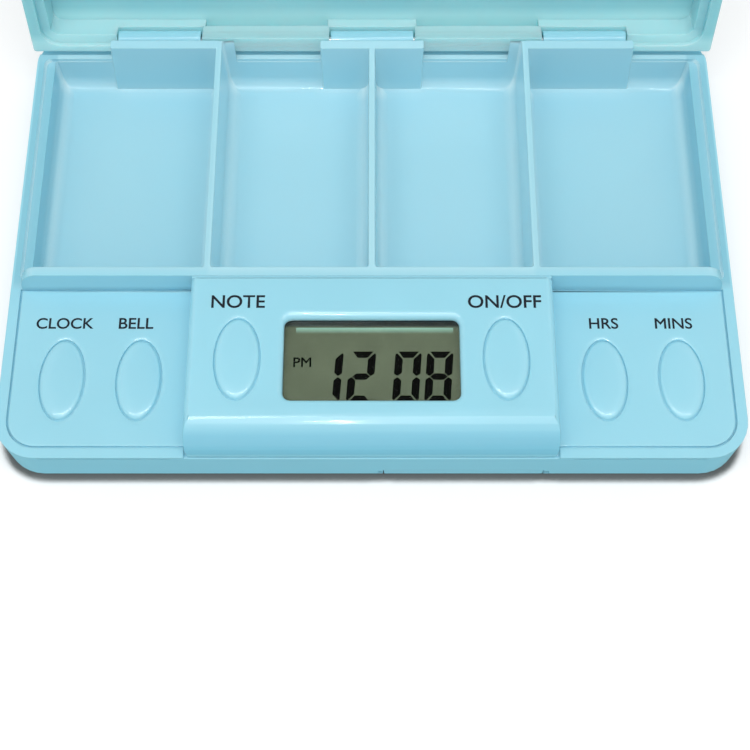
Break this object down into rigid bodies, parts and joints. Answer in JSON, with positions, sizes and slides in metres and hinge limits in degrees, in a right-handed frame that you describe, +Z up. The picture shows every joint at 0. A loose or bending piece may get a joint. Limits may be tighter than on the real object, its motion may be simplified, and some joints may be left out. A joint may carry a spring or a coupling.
{
  "type": "electronic pill box",
  "caption": "Flat pill case with compartments under a hinged lid and a raised clock console with a display and oval push buttons in front.",
  "frame": {"origin": "middle of the case's flat underside", "axes": "+X to the user's right along the case's width, +Y from the clock panel towards the hinge, +Z up"},
  "size_m": [0.1158, 0.1012, 0.0823],
  "materials": {
    "case_plastic": "moulded, satin gloss",
    "button_plastic": "moulded, satin gloss",
    "lid_plastic": "translucent, glossy",
    "window_plastic": "clear, polished",
    "display_glass": "grey green liquid crystal display",
    "frame_plastic": "moulded, matte",
    "connector_rubber": "silicone with carbon layers",
    "board_laminate": "glass laminate with solder mask",
    "dark_component": "moulded, matte",
    "steel": "nickel plated",
    "spring_metal": "plated spring strip"
  },
  "bodies": {
    "case": {"base_case": "case_plastic", "control_panel": "case_plastic", "display_window": "window_plastic", "lcd_glass": "display_glass", "lcd_frame": "frame_plastic", "elastomer_connector": "connector_rubber", "circuit_board": "board_laminate", "clock_chip": "dark_component", "timing_crystal": "steel", "buzzer": "dark_component", "button_cell_left": "steel", "button_cell_right": "steel", "cell_terminal_left": "spring_metal", "cell_terminal_right": "spring_metal", "hinge_pin": "steel", "clock_switch": "dark_component", "alarm_switch": "dark_component", "memo_switch": "dark_component", "on_off_switch": "dark_component", "hours_switch": "dark_component", "minutes_switch": "dark_component", "case_screw_1": "steel", "case_screw_2": "steel", "case_screw_3": "steel", "case_screw_4": "steel"},
    "lid": {"lid": "lid_plastic"},
    "battery_door": {"battery_door": "case_plastic", "cell_bridge": "spring_metal"},
    "clock_button": {"clock_button": "button_plastic"},
    "alarm_button": {"alarm_button": "button_plastic"},
    "memo_button": {"memo_button": "button_plastic"},
    "on_off_button": {"on_off_button": "button_plastic"},
    "hours_button": {"hours_button": "button_plastic"},
    "minutes_button": {"minutes_button": "button_plastic"}
  },
  "joints": [
    {"name": "lid_hinge", "type": "hinge", "parent": "case", "child": "lid", "pos_m": [0, 0.03665, 0.01005], "axis": [1, 0, 0], "range_deg": [0, 107]},
    {"name": "battery_door_slide", "type": "slide", "parent": "case", "child": "battery_door", "axis": [0, -1, 0], "range_m": [0, 0.015]},
    {"name": "clock_press", "type": "slide", "parent": "case", "child": "clock_button", "axis": [0, 0, -1], "range_m": [0, 0.0005], "stiffness_N_per_m": 200, "springref_m": -0.0005},
    {"name": "alarm_press", "type": "slide", "parent": "case", "child": "alarm_button", "axis": [0, 0, -1], "range_m": [0, 0.0005], "stiffness_N_per_m": 200, "springref_m": -0.0005},
    {"name": "memo_press", "type": "slide", "parent": "case", "child": "memo_button", "axis": [0, 0, -1], "range_m": [0, 0.0005], "stiffness_N_per_m": 200, "springref_m": -0.0005},
    {"name": "on_off_press", "type": "slide", "parent": "case", "child": "on_off_button", "axis": [0, 0, -1], "range_m": [0, 0.0005], "stiffness_N_per_m": 200, "springref_m": -0.0005},
    {"name": "hours_press", "type": "slide", "parent": "case", "child": "hours_button", "axis": [0, 0, -1], "range_m": [0, 0.0005], "stiffness_N_per_m": 200, "springref_m": -0.0005},
    {"name": "minutes_press", "type": "slide", "parent": "case", "child": "minutes_button", "axis": [0, 0, -1], "range_m": [0, 0.0005], "stiffness_N_per_m": 200, "springref_m": -0.0005}
  ]
}
